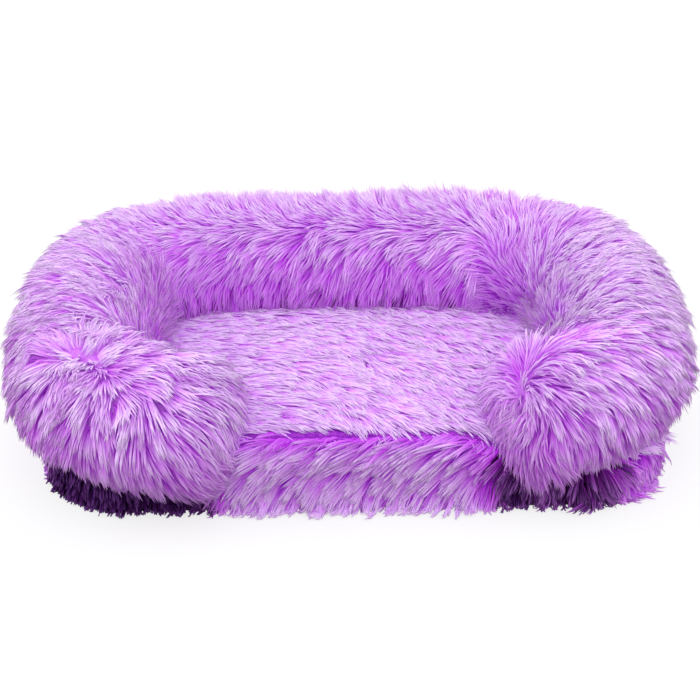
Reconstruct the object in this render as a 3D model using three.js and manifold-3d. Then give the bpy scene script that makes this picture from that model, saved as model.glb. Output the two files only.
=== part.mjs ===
// A shag plush pet bed: a boxed mattress in a zipped cover, with a stuffed bolster sewn round the
// back and both sides of its top. The bolster ends in two round lobes beside the open entrance.
// Millimetres. +X to the right, +Z up, and the entrance faces -Y. The plush panels are drawn to
// the mean surface of their pile, so the tips of the hair stand a little proud of them.
import * as THREE from 'three';
import { mergeVertices } from 'three/addons/utils/BufferGeometryUtils.js';
import Module from 'manifold-3d';

const wasm = await Module();
wasm.setup();

// Driving dimensions. Places in Y are measured from the widest line of the bolster.
const clearance = {
  touching: 0.3, // left between two pieces that touch
  overrun: 20, // how far a cutting solid runs past what it cuts
  weld: 0.001, // corners closer than this are one corner
};

const fabric = {
  pile: 14, // plush panel, backing and hair together
  liner: 1.2, // non-woven liner
  bottom: 2.4, // coated bottom cloth
};

const bolster = {
  armReach: 297, // middle of the bed to the centre line of an arm
  backReach: 221, // widest line to the centre line at the back
  frontReach: 146, // widest line to the foremost place of the closed centre line
  halfWidth: 78, // of its section
  halfHeight: 78,
  centreHeight: 121, // centre line above the floor, at the back and the arms
  leftEnd: 178, // middle of the bed to the end seam of the left lobe
  rightEnd: 198,
  leftDrop: 30, // how far the left lobe sags below the arms
  rightDrop: 27,
  sagStart: 50, // the sag starts this far behind the widest line
  endCrown: 50, // how far the round end panels bulge
  endDrawIn: 6, // the end seam draws the tube in by this much
  endTaper: 80, // over this length
};
const backCornerPower = 4.5; // 2 is an ellipse, more is squarer
const frontCornerPower = { left: 2.8, right: 2.35 };
const lengthSteps = 30; // facets along the bolster
const sectionSteps = 16; // facets round its section

const mattress = {
  armSetOut: 45, // its walls stand this far outside the bolster's centre line
  backSetOut: 31,
  frontSetOut: 10,
  frontCornerRadius: 96, // in plan
  backCornerRadius: 184,
  middleHeight: 100, // top of the crowned sleeping surface
  entranceHeight: 94, // top edge between the lobes
  pressedHeight: 64, // top edge where the bolster presses on it
  entranceBlend: 100, // length over which the edge rises beside a lobe
  drawIn: 6, // the seams pull the wall in by this much
  linerEase: 5.5, // the stuffed liner stands this far inside its cover's walls
  linerSlack: 1, // and this far under the sleeping panel
};
const crownPower = 3; // how flat the middle of the sleeping surface is
const drawInPower = 4; // how sharply the wall turns in at its seams
const ringShares = [1, 0.92, 0.8, 0.62, 0.4, 0]; // facet rings, edge to middle
const cornerSteps = { front: 7, back: 9 };
const straightSteps = { front: 10, side: 3, back: 8 };
const wallShares = [0, 0.1, 0.3, 0.7, 0.9, 1]; // facet rows of the wall, bottom to top

const zip = {
  height: 26, // middle of the chain above the floor
  window: 24, // height of the slot between the two rear strips
  tapeWidth: 14,
  tapeThickness: 0.8,
  pitch: 6, // of the teeth in one row
  toothThickness: 2.6,
  neck: 1.6, // width of a tooth at its root
  head: 3.8, // width of a tooth at its tip
  shoulder: 0.5, // length over which the neck widens to the head
  reach: 2, // how far a tooth passes the middle of the chain
  beadInner: 2.3, // middle of the chain to the cord that carries the teeth
  beadOuter: 4.7,
};

const slider = {
  length: 20,
  rearHalfWidth: 6.6, // at the mouth that the closed chain leaves
  frontHalfWidth: 8, // at the two throats
  shoulderLength: 7,
  plate: 1.3,
  play: 0.35, // round the chain and the tapes
  wedgeLength: 12,
  wedgeHalfWidth: 1.7,
  bridgeLength: 13,
  bridgeHalfWidth: 1.6,
  bridgeBar: 1.4,
  bridgeOpening: 2.4,
};

const pullTab = {
  length: 28, // pivot to tip
  width: 9,
  tipWidth: 7,
  thickness: 1.4,
  bar: 1.5, // the cross bar that turns under the bridge
  eyeLength: 8.2,
  eyeWidth: 5.2,
  holeRadius: 1.6,
  holeInset: 5, // tip to the middle of the hole
  swingRoom: 3, // left between the tab and the end of the slot
};

const stop = {
  length: 4,
  wall: 1.1,
};

// Materials, one object to a kind of piece
const finish = (colour, roughness, metalness = 0) => ({ color: colour, roughness, metalness });
const plush = finish('#c57ae8', 0.95);
const seatPlush = finish('#cd8aec', 0.95);
const oxford = finish('#4c4654', 0.85);
const nonWoven = finish('#efedf2', 0.9);
const fibre = finish('#fbfafd', 1);
const tapeCloth = finish('#a55fca', 0.8);
const toothPlastic = finish('#b377d6', 0.45);
const stopPlastic = finish('#a267c8', 0.5);
const paintedMetal = finish('#9d64c2', 0.35, 0.6);

// Solids from points: a closed geometry whose faces point out
function solidFrom(corners) {
  const soup = new THREE.BufferGeometry().setFromPoints(corners);
  const welded = mergeVertices(soup, clearance.weld);
  const index = welded.index.array;
  const kept = [];
  for (let i = 0; i < index.length; i += 3) {
    const [a, b, c] = [index[i], index[i + 1], index[i + 2]];
    if (a !== b && b !== c && c !== a) kept.push(a, b, c);
  }
  welded.setIndex(kept);
  if (volumeOf(welded) < 0) welded.setIndex(kept.reverse());
  return welded;
}

function volumeOf(geometry) {
  const place = geometry.attributes.position;
  const corner = (i) => new THREE.Vector3().fromBufferAttribute(place, geometry.index.getX(i));
  let sixfold = 0;
  for (let i = 0; i < geometry.index.count; i += 3) {
    sixfold += corner(i).dot(corner(i + 1).cross(corner(i + 2)));
  }
  return sixfold / 6;
}

// The two triangles of each cell in a grid of points
function gridFaces(grid, wraps) {
  const faces = [];
  for (let i = 0; i + 1 < grid.length; i += 1) {
    const cells = wraps ? grid[i].length : grid[i].length - 1;
    for (let k = 0; k < cells; k += 1) {
      const next = (k + 1) % grid[i].length;
      const [a, b, c, d] = [grid[i][k], grid[i + 1][k], grid[i + 1][next], grid[i][next]];
      faces.push(a, b, c, a, c, d);
    }
  }
  return faces;
}

// A wall of cloth between an outer and an inner grid, closed along its open borders
function clothSolid(outer, inner, wraps) {
  const last = outer.length - 1;
  const faces = [...gridFaces(outer, wraps), ...gridFaces(inner, wraps).reverse()];
  faces.push(...gridFaces([inner[0], outer[0]], wraps));
  faces.push(...gridFaces([outer[last], inner[last]], wraps));
  if (!wraps) {
    const edge = (grid, pick) => grid.map((row) => row.at(pick));
    faces.push(...gridFaces([outer, inner].map((grid) => edge(grid, 0)), false));
    faces.push(...gridFaces([inner, outer].map((grid) => edge(grid, -1)), false));
  }
  return solidFrom(faces);
}

// A lump inside one grid whose first and last rows each shrink to a point
const lumpSolid = (grid) => solidFrom(gridFaces(grid, true));

// Cutting and joining
function toManifold(geometry) {
  const bare = geometry.clone();
  bare.deleteAttribute('normal');
  bare.deleteAttribute('uv');
  const welded = mergeVertices(bare, clearance.weld);
  return new wasm.Manifold(new wasm.Mesh({
    numProp: 3,
    vertProperties: new Float32Array(welded.attributes.position.array),
    triVerts: new Uint32Array(welded.index.array),
  }));
}

function fromManifold(manifold) {
  const mesh = manifold.getMesh();
  const geometry = new THREE.BufferGeometry();
  geometry.setAttribute('position', new THREE.Float32BufferAttribute(mesh.vertProperties, 3));
  geometry.setIndex([...mesh.triVerts]);
  return geometry;
}

const cut = (geometry, cutter) => fromManifold(toManifold(geometry).subtract(toManifold(cutter)));
const join = (geometry, other) => fromManifold(toManifold(geometry).add(toManifold(other)));

// Small helpers for the zip: a plate has its outline in X and Z, and is centred in Y
function plateFrom(shape, thickness) {
  const geometry = new THREE.ExtrudeGeometry(shape, {
    depth: thickness, bevelEnabled: false, curveSegments: 6,
  });
  geometry.translate(0, 0, -thickness / 2);
  return geometry.rotateX(Math.PI / 2);
}

function boxBetween(low, high) {
  const size = new THREE.Vector3(...high).sub(new THREE.Vector3(...low));
  const middle = new THREE.Vector3(...high).add(new THREE.Vector3(...low)).divideScalar(2);
  return new THREE.BoxGeometry(...size).translate(...middle);
}

function outlineOf(points) {
  return new THREE.Shape(points.map(([x, y]) => new THREE.Vector2(x, y)));
}

function part(name, geometry, material) {
  const mesh = new THREE.Mesh(geometry, new THREE.MeshStandardMaterial(material));
  geometry.computeVertexNormals();
  mesh.name = name;
  return mesh;
}

// The bolster's centre line: an open egg, squarer than an ellipse, from the left lobe round the
// back to the right lobe. The lobes sag in front.
class BolsterLine extends THREE.Curve {
  constructor() {
    super();
    const endAngle = (end, power) => Math.acos((end / bolster.armReach) ** (power / 2));
    this.start = Math.PI + endAngle(bolster.leftEnd, frontCornerPower.left);
    this.finish = -endAngle(bolster.rightEnd, frontCornerPower.right);
    this.arcLengthDivisions = 600;
  }

  getPoint(t, target = new THREE.Vector3()) {
    const angle = THREE.MathUtils.lerp(this.start, this.finish, t);
    const [across, along] = [Math.cos(angle), Math.sin(angle)];
    const frontPower = across < 0 ? frontCornerPower.left : frontCornerPower.right;
    const power = along > 0 ? backCornerPower : frontPower;
    const reach = along > 0 ? bolster.backReach : bolster.frontReach;
    const x = Math.sign(across) * Math.abs(across) ** (2 / power) * bolster.armReach;
    const y = Math.sign(along) * Math.abs(along) ** (2 / power) * reach;
    const sag = THREE.MathUtils.smoothstep(bolster.sagStart - y, 0, bolster.sagStart + bolster.frontReach);
    const drop = x < 0 ? bolster.leftDrop : bolster.rightDrop;
    return target.set(x, y, bolster.centreHeight - drop * sag);
  }
}

const bolsterLine = new BolsterLine();
const bolsterLength = bolsterLine.getLength();

// One ring of points round the bolster, `inset` inside its surface. `at` runs from 0 at the left
// end seam to 1 at the right one. `turn` carries the ring over the round end, up to a quarter turn.
function bolsterRing({ at, turn = 0 }, sectionAngles, inset) {
  const centre = bolsterLine.getPointAt(at);
  const ahead = bolsterLine.getTangentAt(at).setZ(0).normalize();
  const outward = new THREE.Vector3(-ahead.y, ahead.x, 0);
  const toEnd = Math.min(at, 1 - at) * bolsterLength;
  const draw = bolster.endDrawIn * Math.max(0, 1 - toEnd / bolster.endTaper) ** 2;
  const width = (bolster.halfWidth - inset - draw) * Math.cos(turn);
  const height = (bolster.halfHeight - inset - draw) * Math.cos(turn);
  const bulge = (bolster.endCrown - inset) * Math.sin(turn) * (at < 0.5 ? -1 : 1);
  centre.addScaledVector(ahead, bulge);
  return sectionAngles.map((angle) => new THREE.Vector3(0, 0, height * Math.sin(angle))
    .addScaledVector(outward, width * Math.cos(angle)).add(centre));
}

const tubeStations = Array.from({ length: lengthSteps + 1 }, (_, i) => ({ at: i / lengthSteps }));
const endTurns = [1, 2, 3].map((step) => step * Math.PI / 6);
const roundEnd = (at) => endTurns.map((turn) => ({ at, turn }));
const allStations = [...roundEnd(0).reverse(), ...tubeStations, ...roundEnd(1)];

// Section angles: 0 points outward, a quarter turn is the crest, three quarters the underside
const quarter = Math.PI / 2;
const fullSection = Array.from({ length: sectionSteps }, (_, k) => (
  -quarter + 2 * Math.PI * k / sectionSteps));
function halfSection(side, inset) {
  const crestGap = clearance.touching / 2 / (bolster.halfWidth - inset);
  const [low, high] = side === 'outer' ? [-quarter, quarter - crestGap] : [quarter + crestGap, 3 * quarter];
  const steps = sectionSteps / 2;
  return Array.from({ length: steps + 1 }, (_, k) => THREE.MathUtils.lerp(low, high, k / steps));
}

const ringsOf = (stations, section, inset) => stations.map((station) => (
  bolsterRing(station, section, inset)));

// The mattress in plan: a rounded rectangle as stations with their outward normals, starting at
// the left end of the straight rear wall and running round by the left side and the front.
const halfLength = bolster.armReach + mattress.armSetOut;
const backWall = bolster.backReach + mattress.backSetOut; // widest line to the rear wall
const frontWall = bolster.frontReach + mattress.frontSetOut; // widest line to the front wall

function mattressPlan() {
  const { frontCornerRadius: front, backCornerRadius: back } = mattress;
  const corners = [
    { x: -halfLength + back, y: backWall - back, radius: back, from: 1 },
    { x: -halfLength + front, y: -frontWall + front, radius: front, from: 2 },
    { x: halfLength - front, y: -frontWall + front, radius: front, from: 3 },
    { x: halfLength - back, y: backWall - back, radius: back, from: 4 },
  ];
  const runs = [straightSteps.side, straightSteps.front, straightSteps.side, straightSteps.back];
  const turns = [cornerSteps.back, cornerSteps.front, cornerSteps.front, cornerSteps.back];
  const stations = [];
  corners.forEach((corner, i) => {
    for (let step = 0; step <= turns[i]; step += 1) {
      const angle = quarter * (corner.from + step / turns[i]);
      const normal = new THREE.Vector2(Math.cos(angle), Math.sin(angle));
      stations.push({ place: normal.clone().multiplyScalar(corner.radius).add(corner), normal });
    }
    const next = corners[(i + 1) % corners.length];
    const { place: start, normal } = stations.at(-1);
    const end = normal.clone().multiplyScalar(next.radius).add(next);
    for (let step = 1; step < runs[i]; step += 1) {
      stations.push({ place: start.clone().lerp(end, step / runs[i]), normal });
    }
  });
  return stations;
}

const plan = mattressPlan();
const planMiddle = new THREE.Vector2(0, (backWall - frontWall) / 2);
const rearHalf = halfLength - mattress.backCornerRadius; // half of the straight rear wall
const wallBottom = fabric.bottom + clearance.touching;

// Height of the mattress's top edge at a place on its outline
function edgeHeight({ x, y }) {
  const { leftEnd, rightEnd } = bolster;
  const { entranceBlend, entranceHeight, pressedHeight } = mattress;
  const open = y < 0
    ? THREE.MathUtils.smoothstep(x + leftEnd, 0, entranceBlend)
      * THREE.MathUtils.smoothstep(rightEnd - x, 0, entranceBlend)
    : 0;
  return THREE.MathUtils.lerp(pressedHeight, entranceHeight, open);
}

const wallTop = (place) => edgeHeight(place) - fabric.pile - clearance.touching;

// A ring of the crowned top, `share` of the way from the middle to the edge
function topRing(share, inset, lower) {
  return plan.map(({ place, normal }) => {
    const spot = place.clone().addScaledVector(normal, -inset).sub(planMiddle)
      .multiplyScalar(share).add(planMiddle);
    const edge = edgeHeight({ x: spot.x, y: place.y });
    const height = edge + (mattress.middleHeight - edge) * (1 - share ** crownPower) - lower;
    return new THREE.Vector3(spot.x, spot.y, height);
  });
}

const topRings = (inset, lower) => ringShares.map((share) => topRing(share, inset, lower));

// A flat ring at one height
function flatRing(share, inset, height) {
  return topRing(share, inset, 0).map((point) => point.setZ(height));
}

// How far the wall lies inside the outline at a height: it bulges between its two seams
function wallDraw(place, height) {
  const share = (height - wallBottom) / (wallTop(place) - wallBottom);
  return mattress.drawIn * Math.min(1, Math.abs(2 * share - 1)) ** drawInPower;
}

function wallPoint({ place, normal }, height, inset) {
  const spot = place.clone().addScaledVector(normal, -inset);
  return new THREE.Vector3(spot.x, spot.y, height);
}

const wallRow = (place, share) => THREE.MathUtils.lerp(wallBottom, wallTop(place), share);

// A strip of plush wall along some stations, from one height to another
function boxingStrip(stations, lowAt, highAt) {
  const heights = ({ place }) => {
    const [low, high] = [lowAt(place), highAt(place)];
    const between = wallShares.map((share) => wallRow(place, share));
    return [low, ...between.filter((height) => height > low && height < high), high];
  };
  const outer = stations.map((station) => heights(station).map((height) => (
    wallPoint(station, height, wallDraw(station.place, height)))));
  const inner = stations.map((station) => heights(station).map((height, row, all) => (
    wallPoint(station, row + 1 < all.length ? height : height - clearance.touching, fabric.pile))));
  return clothSolid(outer, inner, false);
}

// The whole mattress in its cover as one lump, swollen by the touching clearance. The bolster's
// pieces are cut to lie on it.
function mattressCutter() {
  const swell = clearance.touching;
  const wall = wallShares.map((share) => plan.map((station) => {
    const height = wallRow(station.place, share);
    return wallPoint(station, height, wallDraw(station.place, height) - swell);
  }));
  const foot = [0, 1].map((share) => flatRing(share, mattress.drawIn - swell, -clearance.overrun));
  return lumpSolid([...foot, ...wall, ...topRings(mattress.drawIn - swell, -swell)]);
}

// The bolster: two plush panels seamed along the crest, a round panel in each end, a liner in
// two halves and the stuffing, all shaped to the mattress that they sit on
function bolsterParts() {
  const seat = mattressCutter();
  const linerInset = fabric.pile + clearance.touching;
  const stuffingInset = linerInset + fabric.liner + clearance.touching;

  const panel = (stations, side, inset, thickness) => cut(clothSolid(
    ringsOf(stations, halfSection(side, inset + thickness), inset),
    ringsOf(stations, halfSection(side, inset + thickness), inset + thickness),
    false,
  ), seat);

  const endPanel = (at) => {
    const stations = [{ at }, ...roundEnd(at)];
    const tube = bolsterLine.getTangentAt(at).setZ(0).normalize();
    const shift = tube.multiplyScalar(at < 0.5 ? -clearance.touching : clearance.touching);
    return cut(clothSolid(
      ringsOf(stations, fullSection, 0),
      ringsOf(stations, fullSection, fabric.pile),
      true,
    ).translate(...shift), seat);
  };

  const stuffing = cut(lumpSolid(ringsOf(allStations, fullSection, stuffingInset)), seat);
  return [
    part('bolster_outer_panel', panel(tubeStations, 'outer', 0, fabric.pile), plush),
    part('bolster_inner_panel', panel(tubeStations, 'inner', 0, fabric.pile), plush),
    part('bolster_end_panel_left', endPanel(0), plush),
    part('bolster_end_panel_right', endPanel(1), plush),
    part('bolster_liner_outer', panel(allStations, 'outer', linerInset, fabric.liner), nonWoven),
    part('bolster_liner_inner', panel(allStations, 'inner', linerInset, fabric.liner), nonWoven),
    part('bolster_filling', stuffing, fibre),
  ];
}

// The mattress cover: crowned sleeping panel, side boxing, two rear strips with the zip's slot
// between them, and the bottom panel
function coverParts() {
  const { drawIn } = mattress;
  const sleeping = clothSolid(topRings(drawIn, 0), topRings(drawIn, fabric.pile), true);
  const bottom = lumpSolid([
    flatRing(0, drawIn, 0), flatRing(1, drawIn, 0),
    flatRing(1, drawIn, fabric.bottom), flatRing(0, drawIn, fabric.bottom),
  ]);

  const rearStation = (x) => ({
    place: new THREE.Vector2(x, backWall), normal: new THREE.Vector2(0, 1),
  });
  const sideStations = plan.slice(0, plan.length - straightSteps.back + 1);
  const rearReach = rearHalf - clearance.touching;
  const rearStations = Array.from({ length: straightSteps.back + 1 }, (_, i) => (
    rearStation(THREE.MathUtils.lerp(rearReach, -rearReach, i / straightSteps.back))));
  const slotLow = () => zip.height - zip.window / 2;
  const slotHigh = () => zip.height + zip.window / 2;
  return [
    part('sleeping_panel', sleeping, seatPlush),
    part('side_boxing', boxingStrip(sideStations, () => wallBottom, wallTop), plush),
    part('rear_boxing_upper', boxingStrip(rearStations, slotHigh, wallTop), plush),
    part('rear_boxing_lower', boxingStrip(rearStations, () => wallBottom, slotLow), plush),
    part('bottom_panel', bottom, oxford),
  ];
}

// The mattress's stuffed liner, in a top and a bottom half, and its filling
function mattressParts() {
  const { touching } = clearance;
  const linerWall = fabric.pile + mattress.linerEase;
  const linerTop = fabric.pile + mattress.linerSlack;
  const splitHeight = (wallBottom + mattress.pressedHeight - linerTop) / 2;
  const inner = { wall: linerWall + fabric.liner, top: linerTop + fabric.liner };

  const topHalf = (wall, top) => [flatRing(1, wall, splitHeight), ...topRings(wall, top)];
  const bottomHalf = (wall, floor) => [
    flatRing(1, wall, splitHeight - touching), flatRing(1, wall, floor), flatRing(0, wall, floor),
  ];
  const filling = { wall: inner.wall + touching, top: inner.top + touching };
  const fillingFloor = wallBottom + fabric.liner + touching;
  return [
    part('mattress_liner_top', clothSolid(
      topHalf(linerWall, linerTop), topHalf(inner.wall, inner.top), true,
    ), nonWoven),
    part('mattress_liner_bottom', clothSolid(
      bottomHalf(linerWall, wallBottom), bottomHalf(inner.wall, wallBottom + fabric.liner), true,
    ), nonWoven),
    part('mattress_filling', lumpSolid([
      flatRing(0, filling.wall, fillingFloor), flatRing(1, filling.wall, fillingFloor),
      ...topRings(filling.wall, filling.top),
    ]), fibre),
  ];
}

// The zip in the rear slot. Its own frame: X along the chain, Y out of the bed, Z across the
// chain with zero between the two rows. It is shut, with the slider at the +X end.
const hingeReach = rearHalf - pullTab.length - pullTab.swingRoom;
const sliderTravel = 2 * hingeReach;
const sliderHalfDepth = zip.toothThickness / 2 + slider.play + slider.plate;
const hingeHeight = sliderHalfDepth + slider.bridgeOpening / 2;
const shutX = hingeReach; // the slider's middle when shut
const openX = hingeReach - sliderTravel;

// One row: the cord and its teeth as one comb, with the teeth reaching down past the middle
function toothRow(offset) {
  const first = openX - slider.length / 2 + zip.pitch;
  const wedgeStart = shutX + slider.length / 2 - slider.wedgeLength;
  const count = Math.floor((wedgeStart - first) / zip.pitch);
  const [neck, head] = [zip.neck / 2, zip.head / 2];
  const underHead = -clearance.touching / 2;
  const comb = [[-rearHalf, zip.beadInner], [-rearHalf, zip.beadOuter],
    [rearHalf, zip.beadOuter], [rearHalf, zip.beadInner]];
  comb.forEach((point) => {
    point[0] -= Math.sign(point[0]) * clearance.touching;
  });
  for (let i = count - 1; i >= 0; i -= 1) {
    const x = first + i * zip.pitch + offset;
    comb.push([x + neck, zip.beadInner], [x + neck, underHead], [x + head, underHead - zip.shoulder],
      [x + head, -zip.reach], [x - head, -zip.reach], [x - head, underHead - zip.shoulder],
      [x - neck, underHead], [x - neck, zip.beadInner]);
  }
  return plateFrom(outlineOf(comb), zip.toothThickness);
}

function tape() {
  const reach = rearHalf - clearance.touching;
  const inner = zip.beadOuter + clearance.touching;
  const half = zip.tapeThickness / 2;
  return boxBetween([-reach, -half, inner], [reach, half, inner + zip.tapeWidth]);
}

// The room that the cord and the tape's edge need inside a clip or the slider
function chainRoom(play, reach) {
  const { overrun } = clearance;
  const tooth = zip.toothThickness / 2 + play;
  const cloth = zip.tapeThickness / 2 + play;
  return join(
    boxBetween([-overrun, -tooth, zip.beadInner - play], [overrun, tooth, zip.beadOuter + play]),
    boxBetween([-overrun, -cloth, zip.beadOuter], [overrun, cloth, reach + overrun]),
  );
}

function topStop() {
  const { touching } = clearance;
  const depth = zip.toothThickness / 2 + touching + stop.wall;
  const inner = zip.beadInner - touching - stop.wall;
  const outer = zip.beadOuter + touching + stop.wall;
  const clip = boxBetween([-stop.length / 2, -depth, inner], [stop.length / 2, depth, outer]);
  return cut(clip, chainRoom(touching, outer));
}

function bottomStop() {
  const { touching } = clearance;
  const depth = zip.toothThickness / 2 + touching + stop.wall;
  const outer = zip.beadOuter + touching + stop.wall;
  const clip = boxBetween([-stop.length / 2, -depth, -outer], [stop.length / 2, depth, outer]);
  const room = chainRoom(touching, outer);
  return cut(cut(clip, room), room.clone().rotateX(Math.PI));
}

// The slider: two plates with rims that close in to the tapes, a wedge between them that parts
// the rows, and a bridge that the pull tab hangs on. Its front is at +X.
function sliderBody() {
  const { length, rearHalfWidth, frontHalfWidth, shoulderLength, play } = slider;
  const [rear, front] = [-length / 2, length / 2];
  const outline = new THREE.Shape();
  outline.moveTo(rear, -rearHalfWidth);
  outline.lineTo(front - shoulderLength, -frontHalfWidth);
  outline.quadraticCurveTo(front, -frontHalfWidth, front, -slider.wedgeHalfWidth);
  outline.lineTo(front, slider.wedgeHalfWidth);
  outline.quadraticCurveTo(front, frontHalfWidth, front - shoulderLength, frontHalfWidth);
  outline.lineTo(rear, rearHalfWidth);
  const body = plateFrom(outline, 2 * sliderHalfDepth);

  const chain = zip.toothThickness / 2 + play;
  const cloth = zip.tapeThickness / 2 + play;
  const reach = zip.beadOuter + play;
  const { overrun } = clearance;
  const room = join(
    boxBetween([-overrun, -chain, -reach], [overrun, chain, reach]),
    boxBetween([-overrun, -cloth, -overrun], [overrun, cloth, overrun]),
  );
  const wedgeOutline = new THREE.Shape();
  const { wedgeLength, wedgeHalfWidth } = slider;
  wedgeOutline.moveTo(front - wedgeLength, 0);
  wedgeOutline.quadraticCurveTo(front - wedgeLength / 2, -wedgeHalfWidth, front, -wedgeHalfWidth);
  wedgeOutline.lineTo(front, wedgeHalfWidth);
  wedgeOutline.quadraticCurveTo(front - wedgeLength / 2, wedgeHalfWidth, front - wedgeLength, 0);
  const wedge = plateFrom(wedgeOutline, 2 * sliderHalfDepth);

  const { bridgeLength, bridgeBar, bridgeOpening, bridgeHalfWidth } = slider;
  const foot = sliderHalfDepth - slider.plate / 2;
  const crown = sliderHalfDepth + bridgeOpening + bridgeBar;
  const half = bridgeLength / 2;
  const arch = outlineOf([
    [-half, foot], [-half + bridgeBar, foot], [-half + bridgeBar, crown - bridgeBar],
    [half - bridgeBar, crown - bridgeBar], [half - bridgeBar, foot], [half, foot],
    [half, crown - bridgeBar / 2], [half - bridgeBar, crown], [-half + bridgeBar, crown],
    [-half, crown - bridgeBar / 2],
  ]);
  const bridge = new THREE.ExtrudeGeometry(arch, { depth: 2 * bridgeHalfWidth, bevelEnabled: false })
    .translate(0, 0, -bridgeHalfWidth);
  return join(cut(body, cut(room, wedge)), bridge);
}

// The pull tab, with its pivot at the origin. It lies along the shut chain, towards -X.
function pullTabBody() {
  const { bar, length, width, tipWidth, eyeLength, eyeWidth, holeRadius, holeInset } = pullTab;
  const outline = new THREE.Shape();
  outline.moveTo(bar / 2, -width / 2);
  outline.lineTo(bar / 2, width / 2);
  outline.lineTo(-length + tipWidth / 2, tipWidth / 2);
  outline.absarc(-length + tipWidth / 2, 0, tipWidth / 2, quarter, 3 * quarter, false);
  const eye = [[-bar / 2, -eyeWidth / 2], [-eyeLength, -eyeWidth / 2],
    [-eyeLength, eyeWidth / 2], [-bar / 2, eyeWidth / 2]];
  outline.holes.push(outlineOf(eye));
  const hole = new THREE.Path();
  hole.absarc(-length + holeInset, 0, holeRadius, 0, 2 * Math.PI, true);
  outline.holes.push(hole);
  return plateFrom(outline, pullTab.thickness);
}

function zipParts() {
  const chainDepth = fabric.pile + clearance.touching + zip.tapeThickness / 2;
  const parts = new THREE.Group();
  parts.position.set(0, backWall - chainDepth, zip.height);
  const place = (piece, x, y, turned) => {
    piece.position.set(x, y, 0);
    if (turned) piece.rotation.x = Math.PI;
    parts.add(piece);
  };
  const stopX = shutX + (slider.length + stop.length) / 2 + clearance.touching;
  place(part('zip_tape_upper', tape(), tapeCloth), 0, 0, false);
  place(part('zip_tape_lower', tape(), tapeCloth), 0, 0, true);
  place(part('zip_teeth_upper', toothRow(0), toothPlastic), 0, 0, false);
  place(part('zip_teeth_lower', toothRow(zip.pitch / 2), toothPlastic), 0, 0, true);
  place(part('zip_top_stop_upper', topStop(), stopPlastic), stopX, 0, false);
  place(part('zip_top_stop_lower', topStop(), stopPlastic), stopX, 0, true);
  place(part('zip_bottom_stop', bottomStop(), stopPlastic), -stopX, 0, false);
  place(part('zip_slider', sliderBody(), paintedMetal), shutX, 0, false);
  place(part('zip_pull_tab', pullTabBody(), paintedMetal), shutX, hingeHeight, false);
  return parts;
}

// The bed, with its origin on the floor at the middle of its footprint
const bed = new THREE.Group();
bed.add(...bolsterParts(), ...coverParts(), ...mattressParts(), zipParts());
const footprint = new THREE.Box3().setFromObject(bed);
bed.position.set(
  -(footprint.min.x + footprint.max.x) / 2,
  -(footprint.min.y + footprint.max.y) / 2,
  -footprint.min.z,
);

export default bed;
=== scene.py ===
import bpy
import bmesh
import numpy as np
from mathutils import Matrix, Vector
from mathutils.bvhtree import BVHTree


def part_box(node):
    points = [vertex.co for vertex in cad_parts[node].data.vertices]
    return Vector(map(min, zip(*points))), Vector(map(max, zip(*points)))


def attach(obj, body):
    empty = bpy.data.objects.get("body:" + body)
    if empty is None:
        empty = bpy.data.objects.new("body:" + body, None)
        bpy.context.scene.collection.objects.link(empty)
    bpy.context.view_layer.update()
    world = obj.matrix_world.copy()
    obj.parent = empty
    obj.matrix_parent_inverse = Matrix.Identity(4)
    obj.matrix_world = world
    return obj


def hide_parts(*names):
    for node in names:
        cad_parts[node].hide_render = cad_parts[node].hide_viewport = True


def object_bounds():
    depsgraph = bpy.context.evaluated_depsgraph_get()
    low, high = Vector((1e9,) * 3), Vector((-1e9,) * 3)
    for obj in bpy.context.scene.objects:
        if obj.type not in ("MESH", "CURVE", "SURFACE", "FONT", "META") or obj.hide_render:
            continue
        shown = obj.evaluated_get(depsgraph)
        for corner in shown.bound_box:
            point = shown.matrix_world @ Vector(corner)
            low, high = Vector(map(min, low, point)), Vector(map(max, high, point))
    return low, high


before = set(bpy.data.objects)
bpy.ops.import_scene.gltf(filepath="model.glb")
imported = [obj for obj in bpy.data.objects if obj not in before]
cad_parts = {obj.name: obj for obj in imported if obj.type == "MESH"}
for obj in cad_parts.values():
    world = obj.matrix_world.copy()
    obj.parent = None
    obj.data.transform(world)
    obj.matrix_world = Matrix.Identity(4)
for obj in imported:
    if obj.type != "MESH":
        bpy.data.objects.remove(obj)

cadLow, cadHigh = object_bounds()
print("frame loaded")

# Small helpers
def unit(v):
    return v / np.maximum(np.linalg.norm(v, axis=-1, keepdims=True), 1e-12)


def ease(x):  # 0 to 1, flat at both ends
    x = np.clip(x, 0, 1)
    return x * x * (3 - 2 * x)


def lerp(a, b, share):
    return a + (b - a) * share


def zone(value, start, width):  # 0 before the start, eased to 1 over the width
    return ease((value - start) / width)


def dot(a, b):
    return (a * b).sum(-1, keepdims=True)


def runLength(points):  # the way along a row of points, from the first of them
    return np.concatenate([[0], np.cumsum(np.linalg.norm(np.diff(points, axis=0), axis=1))])


def ripple(points, size, seed, count=7):
    # a smooth random field, about -1.5 to 1.5: the sum of sine waves in random directions
    rng = np.random.default_rng(seed)
    way = unit(rng.normal(size=(count, 3))) * rng.uniform(0.7, 1.4, (count, 1)) * 2 * np.pi / size
    return np.sin(points @ way.T + rng.uniform(0, 2 * np.pi, count)).sum(-1) / np.sqrt(count)


toRight, toBack, upward = np.eye(3)

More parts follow.
